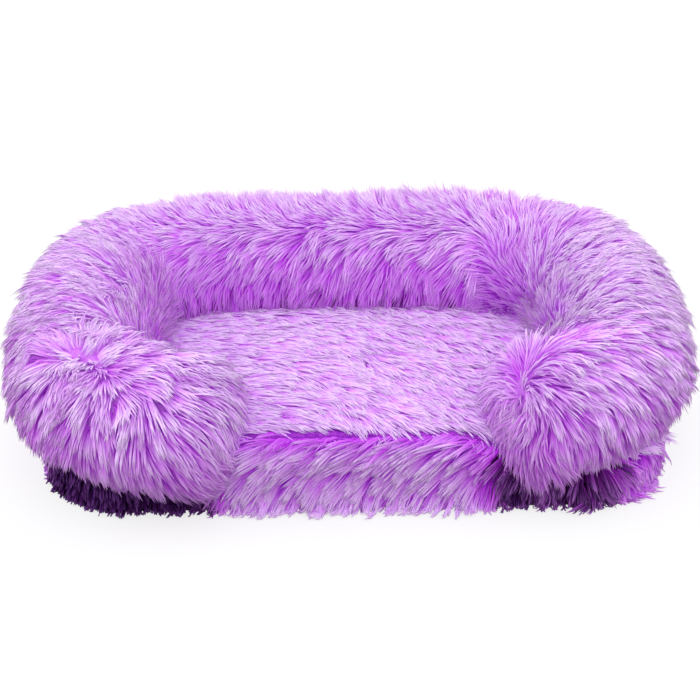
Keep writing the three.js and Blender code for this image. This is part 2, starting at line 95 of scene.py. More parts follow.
# The bed's own sizes, the same as its solids have. Of the pile: how deep the ground cloth lies
# below the hair's mean surface, its thickness, and the dense short fur over it
pile = {"depth": 0.0135, "cloth": 0.0012, "underfur": 0.0045, "seatUnderfur": 0.002}
bolster = {
    "armReach": 0.297, "backReach": 0.221, "frontReach": 0.146, "halfWidth": 0.078, "halfHeight": 0.078,
    "centreHeight": 0.121, "leftEnd": 0.178, "rightEnd": 0.198, "leftDrop": 0.03, "rightDrop": 0.027,
    "sagStart": 0.05, "endCrown": 0.05, "endDrawIn": 0.006, "endTaper": 0.08, "endRoll": 0.102,
    "backPower": 4.5, "leftPower": 2.8, "rightPower": 2.35,
}
mattress = {
    "halfLength": 0.342, "backWall": 0.252, "frontWall": 0.156, "frontRadius": 0.096, "backRadius": 0.184,
    "middleHeight": 0.1, "entranceHeight": 0.094, "pressedHeight": 0.064, "entranceBlend": 0.1,
    "entranceFrom": 0.02, "entranceDepth": 0.05, "drawIn": 0.006, "bottom": 0.0027, "crownPower": 3,
}
closure = {"slotLow": 0.014, "slotHigh": 0.038, "halfLength": 0.158}
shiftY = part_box("bolster_outer_panel")[1].y - bolster["backReach"] - bolster["halfWidth"]


def bolsterLine():
    # superellipse halves: x = |cos|^(2/p) arm, y = |sin|^(2/p) reach; the lobes sag by an ease in y
    b = bolster
    start = np.pi + np.arccos((b["leftEnd"] / b["armReach"]) ** (b["leftPower"] / 2))
    stop = -np.arccos((b["rightEnd"] / b["armReach"]) ** (b["rightPower"] / 2))
    angle = np.linspace(start, stop, 2401)
    c, s = np.cos(angle), np.sin(angle)
    power = 2 / np.where(s > 0, b["backPower"], np.where(c < 0, b["leftPower"], b["rightPower"]))
    x = np.sign(c) * np.abs(c) ** power * b["armReach"]
    y = np.sign(s) * np.abs(s) ** power * np.where(s > 0, b["backReach"], b["frontReach"])
    sag = ease((b["sagStart"] - y) / (b["sagStart"] + b["frontReach"]))
    z = b["centreHeight"] - np.where(x < 0, b["leftDrop"], b["rightDrop"]) * sag
    line = np.stack([x, y + shiftY, z], -1)
    return line, runLength(line)


linePoints, lineLength = bolsterLine()
bolsterLength, roll = lineLength[-1], bolster["endRoll"]


def onLine(w):
    return np.stack([np.interp(w, lineLength, linePoints[:, k]) for k in range(3)], -1)


def bolsterFrame(w):
    # place on the centre line, direction along it in plan, and the outward direction
    w = np.clip(w, 0, bolsterLength)
    ahead = onLine(np.minimum(w + 0.004, bolsterLength)) - onLine(np.maximum(w - 0.004, 0))
    ahead[..., 2] = 0
    ahead = unit(ahead)
    return onLine(w), ahead, np.stack([-ahead[..., 1], ahead[..., 0], np.zeros(w.shape)], -1)


def bolsterSurface(w, phi, inset):
    # an ellipse across the centre line; past either end it closes as a half ellipsoid. phi is 0
    # outward and a quarter turn at the crest
    b = bolster
    centre, ahead, outward = bolsterFrame(w)
    over = np.where(w < 0, -w, np.maximum(w - bolsterLength, 0)) / roll
    turn = np.clip(over, 0, 1) * np.pi / 2
    way = np.where(w < 0, -1.0, 1.0)
    within = np.clip(w, 0, bolsterLength)
    toEnd = np.minimum(within, bolsterLength - within)
    draw = b["endDrawIn"] * np.maximum(0, 1 - toEnd / b["endTaper"]) ** 2
    wide, high = b["halfWidth"] - inset - draw, b["halfHeight"] - inset - draw
    crown = b["endCrown"] - inset
    along, across, rise = np.sin(turn) * way, np.cos(phi) * np.cos(turn), np.sin(phi) * np.cos(turn)
    point = (centre + ahead * (along * crown)[..., None] + outward * (across * wide)[..., None]
             + upward * (rise * high)[..., None])
    normal = (ahead * (along / crown)[..., None] + outward * (across / wide)[..., None]
              + upward * (rise / high)[..., None])
    return point, unit(normal)


# The mattress in plan: a rounded rectangle, wider round at the back
planMiddle = (mattress["backWall"] - mattress["frontWall"]) / 2
planHalf = (mattress["backWall"] + mattress["frontWall"]) / 2
middleY = planMiddle + shiftY


def mattressPlan(step=0.004):
    # stations at even steps, from the left end of the straight rear wall round by the front
    m = mattress
    runs, turns = [], []
    corners = [(-1, 1, m["backRadius"], 1), (-1, -1, m["frontRadius"], 2),
               (1, -1, m["frontRadius"], 3), (1, 1, m["backRadius"], 4)]
    for sx, sy, radius, quarter in corners:
        angle = np.pi / 2 * (quarter + np.linspace(0, 1, 60))
        n = np.stack([np.cos(angle), np.sin(angle)], -1)
        middle = np.array([sx * (m["halfLength"] - radius), planMiddle + sy * (planHalf - radius)])
        runs.append(middle + n * radius)
        turns.append(n)
    place, normal = np.concatenate(runs + [runs[0][:1]]), np.concatenate(turns + [turns[0][:1]])
    length = runLength(place)
    s = np.linspace(0, length[-1], int(length[-1] / step) + 1)
    take = lambda values: np.stack([np.interp(s, length, values[:, k]) for k in range(2)], -1)
    place = take(place)
    place[:, 1] += shiftY
    return place, unit(take(normal)), s


planPlace, planNormal, planLength = mattressPlan()


def planDepth(x, y):
    # how far inside the outline a place is: the rounded box's distance, with its sign turned
    m = mattress
    ym = y - shiftY - planMiddle
    radius = np.where(ym > 0, m["backRadius"], m["frontRadius"])
    qx, qy = np.abs(x) - m["halfLength"] + radius, np.abs(ym) - planHalf + radius
    return radius - np.minimum(np.maximum(qx, qy), 0) - np.hypot(np.maximum(qx, 0), np.maximum(qy, 0))


def edgeHeight(x, y):
    # the top edge: low where the bolster presses on it, eased up between the lobes at the front
    m, blend = mattress, mattress["entranceBlend"]
    opened = ease((x + bolster["leftEnd"]) / blend) * ease((bolster["rightEnd"] - x) / blend)
    front = ease((-m["entranceFrom"] - (y - shiftY)) / m["entranceDepth"])
    return lerp(m["pressedHeight"], m["entranceHeight"], opened * front)


rimPlace = planPlace - planNormal * mattress["drawIn"]
rimFrom = rimPlace - np.array([0, middleY])
rimAngle, rimReach = np.arctan2(rimFrom[:, 1], rimFrom[:, 0]), np.linalg.norm(rimFrom, axis=1)
rimOrder = np.argsort(rimAngle)


def mattressTop(x, y):
    # the crown: edge + (middle - edge)(1 - share^3), share being 0 in the middle and 1 at the rim
    dy = y - planMiddle - shiftY
    atRim = lambda values: np.interp(np.arctan2(dy, x), rimAngle[rimOrder], values[rimOrder], period=2 * np.pi)
    share = np.clip(np.hypot(x, dy) / atRim(rimReach), 0, 1)
    edge = edgeHeight(x, atRim(rimPlace[:, 1]))
    return edge + (mattress["middleHeight"] - edge) * (1 - share ** mattress["crownPower"])


# Meshes from arrays
def newPiece(name, points, faces, material, smooth=True):
    mesh = bpy.data.meshes.new(name)
    points = np.asarray(points, np.float32).reshape(-1, 3)
    corners = np.concatenate([f.ravel() for f in faces]).astype(np.int32)
    sizes = np.concatenate([np.full(len(f), f.shape[1]) for f in faces])
    mesh.vertices.add(len(points))
    mesh.vertices.foreach_set("co", points.ravel())
    mesh.loops.add(len(corners))
    mesh.loops.foreach_set("vertex_index", corners)
    mesh.polygons.add(len(sizes))
    mesh.polygons.foreach_set("loop_start", np.concatenate([[0], np.cumsum(sizes)[:-1]]).astype(np.int32))
    mesh.polygons.foreach_set("use_smooth", np.full(len(sizes), smooth))
    mesh.update(calc_edges=True)
    mesh.materials.append(material)
    piece = bpy.data.objects.new(name, mesh)
    bpy.context.scene.collection.objects.link(piece)
    return piece


def gridFaces(rows, columns, start=0, wraps=False):
    # the quads of a grid of points, counted row by row
    i, j = np.meshgrid(np.arange(rows - 1), np.arange(columns if wraps else columns - 1), indexing="ij")
    here, below = start + i.ravel() * columns, start + (i.ravel() + 1) * columns
    j = j.ravel()
    k = (j + 1) % columns
    return np.stack([here + j, below + j, below + k, here + k], -1)


def tidyMesh(piece):
    # joins doubled points, drops what has no area, and turns the faces outward
    work = bmesh.new()
    work.from_mesh(piece.data)
    bmesh.ops.remove_doubles(work, verts=work.verts, dist=1e-5)
    bmesh.ops.dissolve_degenerate(work, edges=work.edges, dist=1e-6)
    bmesh.ops.recalc_face_normals(work, faces=work.faces)
    work.to_mesh(piece.data)
    work.free()
    return piece


def clothShell(name, outer, inner, material, wraps=False):
    # a wall of cloth between two grids of points, closed along its borders
    rows, columns = outer.shape[:2]
    count = rows * columns
    index = np.arange(count).reshape(rows, columns)
    faces = [gridFaces(rows, columns, 0, wraps), gridFaces(rows, columns, count, wraps)[:, ::-1]]

    def rim(edge, flip):
        band = np.stack([edge[:-1], edge[1:], edge[1:] + count, edge[:-1] + count], -1)
        faces.append(band[:, ::-1] if flip else band)

    closed = lambda row: np.append(row, row[0]) if wraps else row
    rim(closed(index[0]), False)
    rim(closed(index[-1]), True)
    if not wraps:
        rim(index[:, 0], True)
        rim(index[:, -1], False)
    points = np.concatenate([outer.reshape(-1, 3), inner.reshape(-1, 3)])
    return tidyMesh(newPiece(name, points, faces, material))


# Materials
def spaced(values):  # Specular_IOR_Level is the input "Specular IOR Level"
    return {key.replace("_", " "): value for key, value in values.items()}


class Wire:
    # one output of a node; arithmetic on it adds Math nodes
    def __init__(self, look, socket):
        self.look, self.socket = look, socket

    def __add__(self, other): return self.look.sumOf("ADD", self, other)
    __radd__ = __add__
    def __mul__(self, other): return self.look.sumOf("MULTIPLY", self, other)
    __rmul__ = __mul__
    def __sub__(self, other): return self.look.sumOf("SUBTRACT", self, other)
    def __rsub__(self, other): return self.look.sumOf("SUBTRACT", other, self)


class Look:
    # a material and its nodes
    def __init__(self, name, tree=None):
        if tree is None:
            self.material = bpy.data.materials.new(name)
            self.material.use_nodes = True
            tree = self.material.node_tree
        self.tree = tree
        tree.nodes.clear()

    def add(self, kind, settings=None, inputs=(), out=0):
        node = self.tree.nodes.new("ShaderNode" + kind)
        for key, value in (settings or {}).items():
            if key == "stops":
                ramp = node.color_ramp
                while len(ramp.elements) < len(value):
                    ramp.elements.new(0.5)
                for element, (place, colour) in zip(ramp.elements, value):
                    element.position, element.color = place, colour
            else:
                setattr(node, key, value)
        pairs = inputs.items() if isinstance(inputs, dict) else enumerate(inputs)
        for key, value in pairs:
            socket = node.inputs[key]
            if isinstance(value, Wire):
                self.tree.links.new(value.socket, socket)
            elif value is not None:
                socket.default_value = value
        return Wire(self, node.outputs[out]) if node.outputs else None

    def sumOf(self, kind, *values):
        return self.add("Math", {"operation": kind}, values)

    def mix(self, share, a, b):
        return self.add("Mix", {"data_type": "RGBA"}, {0: share, 6: a, 7: b}, 2)

    def place(self, scale=(1, 1, 1), turn=0.0):
        return self.add("Mapping", {}, {0: self.add("TexCoord", out=3), 2: (0, 0, turn), 3: scale})

    def noise(self, where, scale, detail=2.0, roughness=0.5):
        inputs = {"Vector": where, "Scale": scale, "Detail": detail, "Roughness": roughness}
        return self.add("TexNoise", {}, inputs)

    def wave(self, where, scale, direction="X", **inputs):
        settings = {"wave_type": "BANDS", "bands_direction": direction}
        return self.add("TexWave", settings, {"Vector": where, "Scale": scale, **spaced(inputs)})

    def spots(self, where, scale, **inputs):  # the distance to the nearest of scattered points
        return self.add("TexVoronoi", {"feature": "F1"}, {"Vector": where, "Scale": scale, **inputs})

    def band(self, value, low, high, bottom=0.0, top=1.0):
        return self.add("MapRange", {"interpolation_type": "SMOOTHSTEP"}, [value, low, high, bottom, top])

    def surface(self, colour, roughness, height=None, bump=0.3, depth=0.001, **constants):
        links = {"Base Color": colour, "Roughness": roughness, **spaced(constants)}
        if height is not None:
            links["Normal"] = self.add("Bump", {}, {"Strength": bump, "Distance": depth, "Height": height})
        self.add("OutputMaterial", {}, [self.add("BsdfPrincipled", {}, links)])
        return self.material


def rgb(r, g, b):  # a screen colour from 0 to 255, made linear
    c = np.array([r, g, b]) / 255
    c = np.where(c <= 0.04045, c / 12.92, ((c + 0.055) / 1.055) ** 2.4)
    return (*c.tolist(), 1.0)


# The pile's colour depends only on the lock's shade and on the way from its root to its tip. The shade mixes a
# random tone per tuft with painted light and shade: paler tops, darker sides, creases and hair under the lobes
pileColour = {
    "stops": (0.0, 0.3, 0.62, 1.0),
    # the next ramp is painted shade: near-black violet for the hair in shadow under the lobes
    "shadowed": (rgb(16, 0, 28), rgb(36, 4, 54), rgb(72, 24, 96), rgb(128, 76, 156)),
    "deep": (rgb(186, 14, 226), rgb(194, 50, 230), rgb(206, 100, 234), rgb(218, 160, 238)),
    "pale": (rgb(202, 58, 236), rgb(214, 126, 240), rgb(224, 184, 242), rgb(234, 220, 244)),
    "shadowedToDeep": (0.08, 0.3), "deepToPale": (0.25, 0.95),  # over these values of the shade
    # the last entry is the strength of a painted glow in the deep colour
    "roughness": 0.7, "specular": 0.04, "paintedGlow": 0.14,
}


def makePile(name, colour):
    look = Look(name)
    along = look.add("Attribute", {"attribute_name": "along"}, out=2)
    shade = look.add("Attribute", {"attribute_name": "shade"}, out=2)
    ramp = lambda key: look.add("ValToRGB", {"stops": list(zip(colour["stops"], colour[key]))}, [along])
    deep, lit = ramp("deep"), look.band(shade, *colour["shadowedToDeep"])
    # where the shade is lowest the colour goes to that ramp of painted shade
    tone = look.mix(lit, ramp("shadowed"), look.mix(look.band(shade, *colour["deepToPale"]), deep, ramp("pale")))
    glow = look.mix(lit, (0, 0, 0, 1), deep)  # painted glow: an emission that stands for light scattered within the fibres
    return look.surface(tone, colour["roughness"], Specular_IOR_Level=colour["specular"],
                        Emission_Color=glow, Emission_Strength=colour["paintedGlow"])


def makeBacking():
    # the knitted ground cloth that the pile is sewn into: rows of loops, darker between them
    look = Look("plushBacking")
    where = look.place((1, 1, 1), 0.6)
    rows = look.wave(where, 260, Distortion=3.0, Detail=2.0, Detail_Scale=60)
    tone = look.mix(rows * 0.6 + look.noise(where, 90, 3) * 0.4, rgb(176, 40, 226), rgb(214, 90, 246))
    return look.surface(tone, 0.9, rows, 0.5, 0.0006, Specular_IOR_Level=0.1)


def makeUnderfur(name, deep, bright):
    # short fur too dense to tell apart: bright at its tips, deep between them
    look = Look(name)
    spot = look.place()
    height = look.noise(spot, 900, 3, 0.7) * 0.7 + look.noise(spot, 160, 2) * 0.5
    tone = look.mix(look.band(height, 0.4, 0.8), deep, bright)
    return look.surface(tone, 0.9, height, 0.8, 0.002, Specular_IOR_Level=0.04)


def makeLiner():
    # spun-bonded cloth: white fibres pressed together at small points
    look = Look("nonWovenLiner")
    where = look.place()
    pressed = look.band(look.spots(where, 420), 0.15, 0.4)
    tone = look.mix(pressed * 0.6 + look.noise(where, 700, 3, 0.7) * 0.4, rgb(222, 219, 226), rgb(246, 245, 248))
    return look.surface(tone, 0.85 - pressed * 0.1, pressed, 0.3, 0.0003)


def makeOxford():
    # woven bottom cloth with rows of small non-slip dots printed on it
    look = Look("oxfordBottom")
    where = look.place()
    weave = look.sumOf("MAXIMUM", *(look.wave(where, 190, way, Distortion=0.6) for way in "XY"))
    dots = 1 - look.band(look.spots(where, 110, Randomness=0.0), 0.2, 0.26)
    stain = look.noise(where, 14, 4)
    cloth = look.mix(weave * 0.7 + stain * 0.3, rgb(52, 46, 60), rgb(92, 84, 104))
    tone = look.mix(dots, cloth, rgb(40, 37, 45))
    return look.surface(tone, 0.88 - dots * 0.35, weave * 0.5 + dots, 0.5, 0.0005)


def makeTape():
    # herringbone tape in the plush's own violet
    look = Look("zipTapeCloth")
    twill = look.wave(look.place((1, 1, 0.8)), 420)
    rib = look.wave(look.place((1, 1, 1), 0.785), 330, "DIAGONAL")
    tone = look.mix(twill * 0.5 + rib * 0.5, rgb(128, 70, 176), rgb(176, 112, 214))
    return look.surface(tone, 0.82, rib, 0.5, 0.0003, Sheen_Weight=0.2)


def makeMoulded(name, low, high, rough):
    # moulded plastic with faint flow marks
    look = Look(name)
    where = look.place()
    flow, grain = look.noise(where, 160, 4, 0.6), look.noise(where, 2600, 2)
    return look.surface(look.mix(flow, low, high), rough + flow * 0.12, grain, 0.12, 0.0001)


def makeLacquer():
    # lacquered die-cast metal, rubbed bright along its edges and in small scratches
    look = Look("lacqueredMetal")
    edge = look.add("NewGeometry", out=7)
    rubbed = look.band(edge + (look.noise(look.place(), 900, 3) - 0.5) * 0.16, 0.53, 0.6)
    scratch = look.band(look.noise(look.place((1, 1, 14)), 500, 3, 0.7), 0.66, 0.74)
    bare = look.sumOf("MAXIMUM", rubbed, scratch * 0.6)
    tone = look.mix(bare, rgb(146, 88, 196), rgb(206, 202, 212))
    return look.surface(tone, 0.28 + bare * 0.12, scratch, 0.15, 0.0001, Metallic=bare * 0.5 + 0.45)


plush = makePile("plushPile", pileColour)
backing = makeBacking()
underfur = makeUnderfur("plushUnderfur", rgb(196, 84, 232), rgb(222, 146, 244))
# the seat's underfur is deeper than the rest: painted shade for the crease at the entrance, where it shows
seatUnderfur = makeUnderfur("seatUnderfur", rgb(140, 16, 190), rgb(196, 84, 232))
liner = makeLiner()
for material, nodes in (
        (makeOxford(), ["bottom_panel"]),
        (makeTape(), ["zip_tape_upper", "zip_tape_lower"]),
        (makeMoulded("zipTeeth", rgb(150, 92, 200), rgb(178, 122, 222), 0.34),
         ["zip_teeth_upper", "zip_teeth_lower"]),
        (makeMoulded("zipStops", rgb(134, 80, 186), rgb(160, 104, 208), 0.42),
         ["zip_top_stop_upper", "zip_top_stop_lower", "zip_bottom_stop"]),
        (makeLacquer(), ["zip_slider", "zip_pull_tab"])):
    for node in nodes:
        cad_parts[node].data.materials.clear()
        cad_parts[node].data.materials.append(material)
print("materials made")


# The two stuffed pillows: a plain form, remeshed, blown up a little by Cloth and capped
stuffing = {"voxel": 0.007, "pressure": 4.0, "stiffness": 15, "quality": 5, "frames": 20, "cap": 0.006,
            "start": 0.003, "gap": 0.0042, "floorGap": 0.004, "wallGap": 0.002}


def applyModifiers(piece):
    held = bpy.data.meshes.new_from_object(piece.evaluated_get(bpy.context.evaluated_depsgraph_get()))
    piece.modifiers.clear()
    piece.data = held


def readPoints(piece):
    points = np.zeros(len(piece.data.vertices) * 3, np.float32)
    piece.data.vertices.foreach_get("co", points)
    return points.reshape(-1, 3).astype(float)


def blowUp(piece, settings):
    remesh = piece.modifiers.new("even", "REMESH")
    remesh.mode, remesh.voxel_size = "VOXEL", settings["voxel"]
    applyModifiers(piece)
    rest = readPoints(piece)
    cloth = piece.modifiers.new("cloth", "CLOTH").settings
    cloth.use_pressure, cloth.uniform_pressure_force = True, settings["pressure"]
    cloth.quality = settings["quality"]
    cloth.tension_stiffness = cloth.compression_stiffness = settings["stiffness"]
    cloth.effector_weights.gravity = 0
    for step in range(1, settings["frames"] + 1):
        bpy.context.scene.frame_set(step)
    applyModifiers(piece)
    bpy.context.scene.frame_set(1)
    moved = readPoints(piece) - rest
    far = np.linalg.norm(moved, axis=1, keepdims=True)
    moved *= np.minimum(1, settings["cap"] / np.maximum(far, 1e-9))
    piece.data.vertices.foreach_set("co", (rest + moved).astype(np.float32).ravel())
    piece.data.update()
    return piece


def ring(share, inset, step=1):
    # the outline drawn in by an inset and scaled towards the plan's middle
    place = (planPlace - planNormal * inset)[::step]
    middle = np.array([0, middleY])
    return (place - middle) * share + middle


def atHeight(place, z):
    return np.concatenate([place, np.broadcast_to(z, place.shape[:1])[:, None]], -1)


def lump(name, rows, material):
    grid = np.array(rows)
    return tidyMesh(newPiece(name, grid, [gridFaces(*grid.shape[:2], 0, True)], material))


def bolsterPillow():
    # the bolster's own form, shrunk, and flattened where it sits on the mattress
    w = np.linspace(-roll, bolsterLength + roll, 150)
    phi = np.linspace(0, 2 * np.pi, 52, endpoint=False)
    w, phi = np.meshgrid(w, phi, indexing="ij")
    point, _ = bolsterSurface(w, phi, pile["depth"] + stuffing["gap"] + stuffing["start"])
    seat = mattressTop(point[..., 0], point[..., 1]) - pile["depth"] + stuffing["gap"]
    over = planDepth(point[..., 0], point[..., 1]) > 0
    point[..., 2] = np.where(over, np.maximum(point[..., 2], seat), point[..., 2])
    return blowUp(lump("bolster_pillow", point, liner), stuffing)


def mattressPillow():
    # rings of the outline: the floor, the wall, then the crown
    inset = pile["depth"] + stuffing["gap"] + stuffing["start"] + stuffing["wallGap"]
    floor = mattress["bottom"] + stuffing["floorGap"]

    def topOf(place):
        return mattressTop(place[:, 0], place[:, 1]) - pile["depth"] - stuffing["gap"] - stuffing["start"]

    rim = ring(1, inset, 3)
    rows = [atHeight(ring(share, inset, 3), floor) for share in (0, 0.4, 0.8, 0.96)]
    rows += [atHeight(rim, lerp(floor, topOf(rim), share)) for share in (0.12, 0.5, 0.88)]
    for share in (0.96, 0.85, 0.7, 0.55, 0.4, 0.2, 0):
        place = ring(share, inset, 3)
        rows.append(atHeight(place, topOf(place)))
    return blowUp(lump("mattress_pillow", rows, liner), stuffing)


bolsterPad = bolsterPillow()
mattressPad = mattressPillow()
print("pillows stuffed:", len(bolsterPad.data.vertices), len(mattressPad.data.vertices))


# The relief that the stuffing gives to the cloth over it, read on coarse grids by ray
def treeOf(piece):
    return BVHTree.FromObject(piece, bpy.context.evaluated_depsgraph_get())


def rayGrid(tree, start, way, usual):
    # distance to the cloth along each ray, less the usual distance
    found = np.array([tree.ray_cast(Vector(a), Vector(b))[3] or c
                      for a, b, c in zip(start.reshape(-1, 3), way.reshape(-1, 3), usual.ravel())])
    return found.reshape(usual.shape) - usual


def sampleGrid(values, fi, fj):
    # bilinear reading of a grid at fractional rows and columns
    fi, fj = np.clip(fi, 0, values.shape[0] - 1.0001), np.clip(fj, 0, values.shape[1] - 1.0001)
    i, j = fi.astype(int), fj.astype(int)
    u, v = (fi - i)[..., None], (fj - j)[..., None]
    grid = values if values.ndim == 3 else values[..., None]
    near = grid[i, j] * (1 - v) + grid[i, j + 1] * v
    found = near * (1 - u) + (grid[i + 1, j] * (1 - v) + grid[i + 1, j + 1] * v) * u
    return found if values.ndim == 3 else found[..., 0]


def smoothed(values, times=2):
    for _ in range(times):
        padded = np.pad(values, 1, mode="edge")
        values = (padded[:-2, 1:-1] + padded[2:, 1:-1] + padded[1:-1, :-2] + padded[1:-1, 2:]
                  + 4 * padded[1:-1, 1:-1]) / 8
    return values


# The grid that the relief is read on, the degrees of its first and last column, and its limit
relief = {"rows": 130, "columns": 40, "from": -70, "to": 240, "limit": 0.004}


def bolsterRelief():
    w = np.linspace(-roll, bolsterLength + roll, relief["rows"])
    phi = np.radians(np.linspace(relief["from"], relief["to"], relief["columns"]))
    w, phi = np.meshgrid(w, phi, indexing="ij")
    point, _ = bolsterSurface(w, phi, pile["depth"] + stuffing["gap"])
    start = bolsterFrame(w)[0]
    away = point - start
    change = rayGrid(treeOf(bolsterPad), start, unit(away), np.linalg.norm(away, axis=-1))
    return smoothed(np.clip(change - np.median(change), -relief["limit"], relief["limit"]))


reliefMap = bolsterRelief()


def bolsterCloth(w, phi, lift=0.0):
    # the ground cloth: the bolster's form one pile depth in, with the stuffing's relief
    point, normal = bolsterSurface(w, phi, pile["depth"])
    fi = (w + roll) / (bolsterLength + 2 * roll) * (relief["rows"] - 1)
    fj = (np.degrees(phi) - relief["from"]) / (relief["to"] - relief["from"]) * (relief["columns"] - 1)
    return point + normal * (sampleGrid(reliefMap, fi, fj) + lift)[..., None], normal


def mattressClothTop(x, y):
    return mattressTop(x, y) - pile["depth"]


def insideMattress(point):
    x, y, z = point[..., 0], point[..., 1], point[..., 2]
    return (planDepth(x, y) > pile["depth"]) & (z < mattressClothTop(x, y) + 0.001)


def seamAngles(w):
    # where the bolster's cloth meets the mattress on either side, in radians
    scan = np.radians(np.arange(0, 91, 1.0))
    grid, turns = np.meshgrid(w, scan, indexing="ij")
    low = insideMattress(bolsterCloth(grid, -turns)[0])
    high = insideMattress(bolsterCloth(grid, np.pi + turns)[0])
    pick = lambda hit: scan[np.where(hit.any(1), hit.argmax(1), len(scan) - 1)]
    return -pick(low), np.pi + pick(high)


def bolsterShell(name, wRange, fromAngle, toAngle, lift=0.0):
    # rows along the bolster, columns between two angles that may change along it
    w = np.linspace(*wRange, max(8, int((wRange[1] - wRange[0]) / 0.005)))
    low, high = seamAngles(w)
    a = low if fromAngle is None else np.full(len(w), fromAngle)
    b = high if toAngle is None else np.full(len(w), toAngle)
    phi = a[:, None] + (b - a)[:, None] * np.linspace(0, 1, 22)
    outer, normal = bolsterCloth(np.broadcast_to(w[:, None], phi.shape), phi, lift)
    return clothShell(name, outer, outer - normal * (lift * 0.5 + pile["cloth"]), underfur if lift else backing)


crest, endReach = np.pi / 2, roll * 0.985
seam = {"crest": 0.002, "end": 0.0005}  # left open on either side: radians at the crest, metres at the ends
shells = [(bolsterShell("backing_" + name, span, low, high), node) for name, node, span, low, high in (
    ("bolster_outer", "bolster_outer_panel", (0, bolsterLength), None, crest - seam["crest"]),
    ("bolster_inner", "bolster_inner_panel", (0, bolsterLength), crest + seam["crest"], None),
    ("end_left", "bolster_end_panel_left", (-endReach, -seam["end"]), None, None),
    ("end_right", "bolster_end_panel_right", (bolsterLength + seam["end"], bolsterLength + endReach), None, None))]

# The mattress's ground cloth
seatShares = np.concatenate([[0.012], np.linspace(0.08, 1, 22)])


def seatShell(name, lift=0.0):
    # rings of the outline from the middle to the rim, on the crown
    rows = [ring(share, pile["depth"] + lift, 3)[:-1] for share in seatShares]
    outer = np.array([atHeight(row, mattressClothTop(row[:, 0], row[:, 1]) + lift) for row in rows])
    inner = outer - upward * (pile["cloth"] + lift * 0.5)
    return clothShell(name, outer, inner, seatUnderfur if lift else backing, True)


def wallShell(name, stations, low, high):
    # a strip of wall at some stations, from one height to another
    place, normal = planPlace[stations], planNormal[stations]
    top = high if high is not None else mattressClothTop(*(place - normal * pile["depth"]).T) - 0.0015
    z = low + (np.broadcast_to(top, len(place))[:, None] - low) * np.linspace(0, 1, 8)
    outer = np.concatenate([np.repeat((place - normal * pile["depth"])[:, None], 8, 1), z[..., None]], -1)
    inward = np.append(normal, np.zeros((len(normal), 1)), 1)[:, None] * pile["cloth"]
    return clothShell(name, outer, outer - inward, backing)


rearStart = 1 + np.argmax((planLength > 0.4) & (planPlace[:, 1] > shiftY + mattress["backWall"] - 0.0005)
                          & (planPlace[:, 0] > 0))
sides, rear = np.arange(rearStart), np.arange(rearStart, len(planPlace))
shells.append((seatShell("backing_seat"), "sleeping_panel"))
shells += [(wallShell("backing_" + name, stations, low, high), node) for name, node, stations, low, high in (
    ("side", "side_boxing", sides, mattress["bottom"], None),
    ("rear_upper", "rear_boxing_upper", rear, closure["slotHigh"], None),
    ("rear_lower", "rear_boxing_lower", rear, mattress["bottom"], closure["slotLow"]))]
undercoat = [bolsterShell("underfur_" + name, span, low, high, pile["underfur"]) for name, span, low, high in (
    ("bolster_outer", (0, bolsterLength), None, crest),
    ("bolster_inner", (0, bolsterLength), crest, None),
    ("end_left", (-roll * 0.97, 0), None, None),
    ("end_right", (bolsterLength, bolsterLength + roll * 0.97), None, None))]
undercoat.append(seatShell("underfur_seat", pile["seatUnderfur"]))
print("ground cloth made:", len(shells), "underfur:", len(undercoat))


# The pile. A field is a grid of cloth points with the way that the hair is combed at each, and
# how it grows there. Lengths are in metres and angles in degrees
usualHair = {"length": 0.036, "rise": 42, "settle": 4, "droop": 0.5, "stray": 5, "swing": 14, "blunt": 0.3,
             "curl": 8, "pull": 0.7, "shade": 0.5, "fade": 0.0, "even": 0.85}


def makeField(point, normal, comb, grown, values):
    comb = unit(comb - dot(comb, normal) * normal)
    shape = point.shape[:2]
    layers = [np.broadcast_to(value, shape)[..., None] for value in {**usualHair, **values}.values()]
    a, b = np.diff(point, axis=0)[:, :-1], np.diff(point, axis=1)[:-1]
    area = np.linalg.norm(np.cross(a, b), axis=-1) * grown[:-1, :-1]
    steps = (np.median(np.linalg.norm(a, axis=-1)), np.median(np.linalg.norm(b, axis=-1)))
    return {"layers": np.concatenate([point, normal, comb, *layers], -1), "area": area, "steps": steps}


def turned(comb, normal, degrees):
    angle = np.radians(degrees)[..., None]
    return comb * np.cos(angle) + np.cross(normal, comb) * np.sin(angle)


def zoned(amounts, zones):
    # each value is a sum: every amount times how much a place lies in its zone
    return {key: sum(amount * zones[name] for name, amount in parts.items()) for key, parts in amounts.items()}


# Random ranges are lowest and highest, or a share and the width of its spread
tuft = {"width": 0.0011, "embed": 0.0015, "widthRange": (0.72, 1.25), "reach": (0.84, 0.32),
        "pullRange": (0.75, 1.15), "unevenness": 0.06, "cover": 0.6}


def nearestTuft(field, fi, fj, size, seed):
    # the nearest of the jittered tuft centres: its random numbers, and its place on the cloth
    a, b = fi * field["steps"][0] / size, fj * field["steps"][1] / size
    table = np.random.default_rng(seed).random((int(a.max()) + 5, int(b.max()) + 5, 7))
    best = np.full(len(a), 9.0)
    chosen, centre = np.zeros((len(a), 7)), np.zeros((len(a), 2))
    for da in (-1, 0, 1):
        for db in (-1, 0, 1):
            ca, cb = np.floor(a).astype(int) + da, np.floor(b).astype(int) + db
            luck = table[ca + 1, cb + 1]
            spot = np.stack([ca + luck[:, 0], cb + luck[:, 1]], -1)
            far = np.hypot(spot[:, 0] - a, spot[:, 1] - b)
            nearer = far < best
            best = np.where(nearer, far, best)
            chosen[nearer], centre[nearer] = luck[nearer], spot[nearer]
    heart = sampleGrid(field["layers"][..., :3], centre[:, 0] * size / field["steps"][0],
                       centre[:, 1] * size / field["steps"][1])
    return chosen.T, heart


